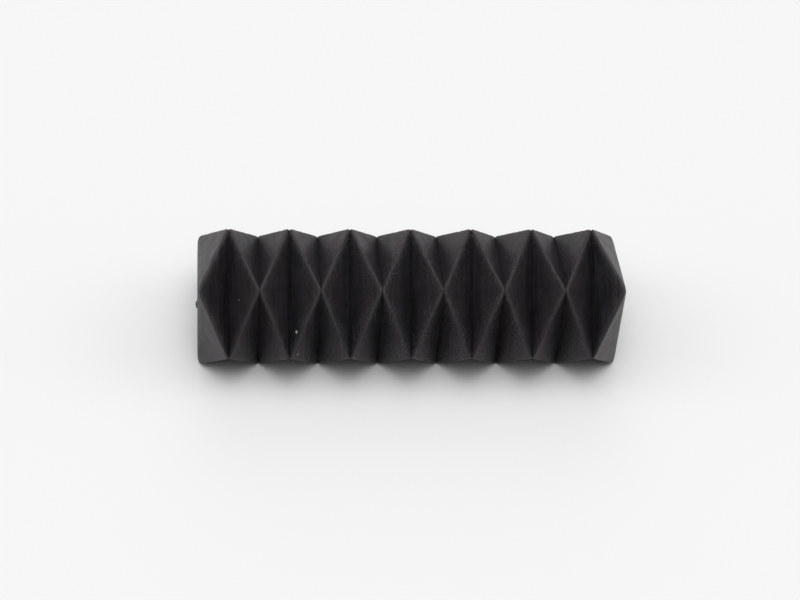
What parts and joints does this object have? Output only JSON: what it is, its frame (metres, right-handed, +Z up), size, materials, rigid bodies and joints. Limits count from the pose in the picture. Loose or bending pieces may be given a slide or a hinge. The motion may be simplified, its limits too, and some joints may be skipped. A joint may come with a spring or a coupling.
{
  "type": "string vibration dampener",
  "caption": "Straight bar of black rubber faceted into diamonds with V grooves all round, woven across racket strings to damp their vibration; it bends in any direction.",
  "frame": {"origin": "on the bar's long axis, half-way between its two end faces, which is the centre of its box", "axes": "+X along the bar, +Z up with a flat side of the hexagonal outline underneath, +Y to the back"},
  "size_m": [0.0448, 0.0158, 0.0138],
  "materials": {
    "black_rubber": "matte"
  },
  "bodies": {
    "left_end_segment": {"left_end_segment": "black_rubber", "flex_web_01": "black_rubber"},
    "segment_02": {"segment_02": "black_rubber", "flex_web_02": "black_rubber"},
    "segment_03": {"segment_03": "black_rubber", "flex_web_03": "black_rubber"},
    "segment_04": {"segment_04": "black_rubber", "flex_web_04": "black_rubber"},
    "segment_05": {"segment_05": "black_rubber", "flex_web_05": "black_rubber"},
    "segment_06": {"segment_06": "black_rubber", "flex_web_06": "black_rubber"},
    "segment_07": {"segment_07": "black_rubber"},
    "segment_08": {"segment_08": "black_rubber", "flex_web_07": "black_rubber"},
    "segment_09": {"segment_09": "black_rubber", "flex_web_08": "black_rubber"},
    "segment_10": {"segment_10": "black_rubber", "flex_web_09": "black_rubber"},
    "segment_11": {"segment_11": "black_rubber", "flex_web_10": "black_rubber"},
    "segment_12": {"segment_12": "black_rubber", "flex_web_11": "black_rubber"},
    "segment_13": {"segment_13": "black_rubber", "flex_web_12": "black_rubber"},
    "right_end_segment": {"right_end_segment": "black_rubber", "flex_web_13": "black_rubber"}
  },
  "joints": [
    {"name": "front_bend_01", "type": "hinge", "parent": "segment_02", "child": "left_end_segment", "pos_m": [-0.0192, 0, 0], "axis": [0, -0.866, -0.5], "range_deg": [-5.14, 5.14], "stiffness_Nm_per_rad": 0.002, "deforming": ["flex_web_01"]},
    {"name": "back_bend_02", "type": "hinge", "parent": "segment_03", "child": "segment_02", "pos_m": [-0.016, 0, 0], "axis": [0, -0.866, 0.5], "range_deg": [-6, 6], "stiffness_Nm_per_rad": 0.002, "deforming": ["flex_web_02"]},
    {"name": "front_bend_03", "type": "hinge", "parent": "segment_04", "child": "segment_03", "pos_m": [-0.0128, 0, 0], "axis": [0, -0.866, -0.5], "range_deg": [-5.14, 5.14], "stiffness_Nm_per_rad": 0.002, "deforming": ["flex_web_03"]},
    {"name": "back_bend_04", "type": "hinge", "parent": "segment_05", "child": "segment_04", "pos_m": [-0.0096, 0, 0], "axis": [0, -0.866, 0.5], "range_deg": [-6, 6], "stiffness_Nm_per_rad": 0.002, "deforming": ["flex_web_04"]},
    {"name": "front_bend_05", "type": "hinge", "parent": "segment_06", "child": "segment_05", "pos_m": [-0.0064, 0, 0], "axis": [0, -0.866, -0.5], "range_deg": [-5.14, 5.14], "stiffness_Nm_per_rad": 0.002, "deforming": ["flex_web_05"]},
    {"name": "back_bend_06", "type": "hinge", "parent": "segment_07", "child": "segment_06", "pos_m": [-0.0032, 0, 0], "axis": [0, -0.866, 0.5], "range_deg": [-6, 6], "stiffness_Nm_per_rad": 0.002, "deforming": ["flex_web_06"]},
    {"name": "front_bend_07", "type": "hinge", "parent": "segment_07", "child": "segment_08", "pos_m": [0, 0, 0], "axis": [0, -0.866, -0.5], "range_deg": [-5.14, 5.14], "stiffness_Nm_per_rad": 0.002, "deforming": ["flex_web_07"]},
    {"name": "back_bend_08", "type": "hinge", "parent": "segment_08", "child": "segment_09", "pos_m": [0.0032, 0, 0], "axis": [0, -0.866, 0.5], "range_deg": [-6, 6], "stiffness_Nm_per_rad": 0.002, "deforming": ["flex_web_08"]},
    {"name": "front_bend_09", "type": "hinge", "parent": "segment_09", "child": "segment_10", "pos_m": [0.0064, 0, 0], "axis": [0, -0.866, -0.5], "range_deg": [-5.14, 5.14], "stiffness_Nm_per_rad": 0.002, "deforming": ["flex_web_09"]},
    {"name": "back_bend_10", "type": "hinge", "parent": "segment_10", "child": "segment_11", "pos_m": [0.0096, 0, 0], "axis": [0, -0.866, 0.5], "range_deg": [-6, 6], "stiffness_Nm_per_rad": 0.002, "deforming": ["flex_web_10"]},
    {"name": "front_bend_11", "type": "hinge", "parent": "segment_11", "child": "segment_12", "pos_m": [0.0128, 0, 0], "axis": [0, -0.866, -0.5], "range_deg": [-5.14, 5.14], "stiffness_Nm_per_rad": 0.002, "deforming": ["flex_web_11"]},
    {"name": "back_bend_12", "type": "hinge", "parent": "segment_12", "child": "segment_13", "pos_m": [0.016, 0, 0], "axis": [0, -0.866, 0.5], "range_deg": [-6, 6], "stiffness_Nm_per_rad": 0.002, "deforming": ["flex_web_12"]},
    {"name": "front_bend_13", "type": "hinge", "parent": "segment_13", "child": "right_end_segment", "pos_m": [0.0192, 0, 0], "axis": [0, -0.866, -0.5], "range_deg": [-5.14, 5.14], "stiffness_Nm_per_rad": 0.002, "deforming": ["flex_web_13"]}
  ],
  "couplings": [
    {"joint": "front_bend_01", "follows": "front_bend_07", "ratio": -1},
    {"joint": "back_bend_02", "follows": "back_bend_08", "ratio": -1},
    {"joint": "front_bend_03", "follows": "front_bend_07", "ratio": -1},
    {"joint": "back_bend_04", "follows": "back_bend_08", "ratio": -1},
    {"joint": "front_bend_05", "follows": "front_bend_07", "ratio": -1},
    {"joint": "back_bend_06", "follows": "back_bend_08", "ratio": -1},
    {"joint": "front_bend_09", "follows": "front_bend_07", "ratio": 1},
    {"joint": "back_bend_10", "follows": "back_bend_08", "ratio": 1},
    {"joint": "front_bend_11", "follows": "front_bend_07", "ratio": 1},
    {"joint": "back_bend_12", "follows": "back_bend_08", "ratio": 1},
    {"joint": "front_bend_13", "follows": "front_bend_07", "ratio": 1}
  ]
}
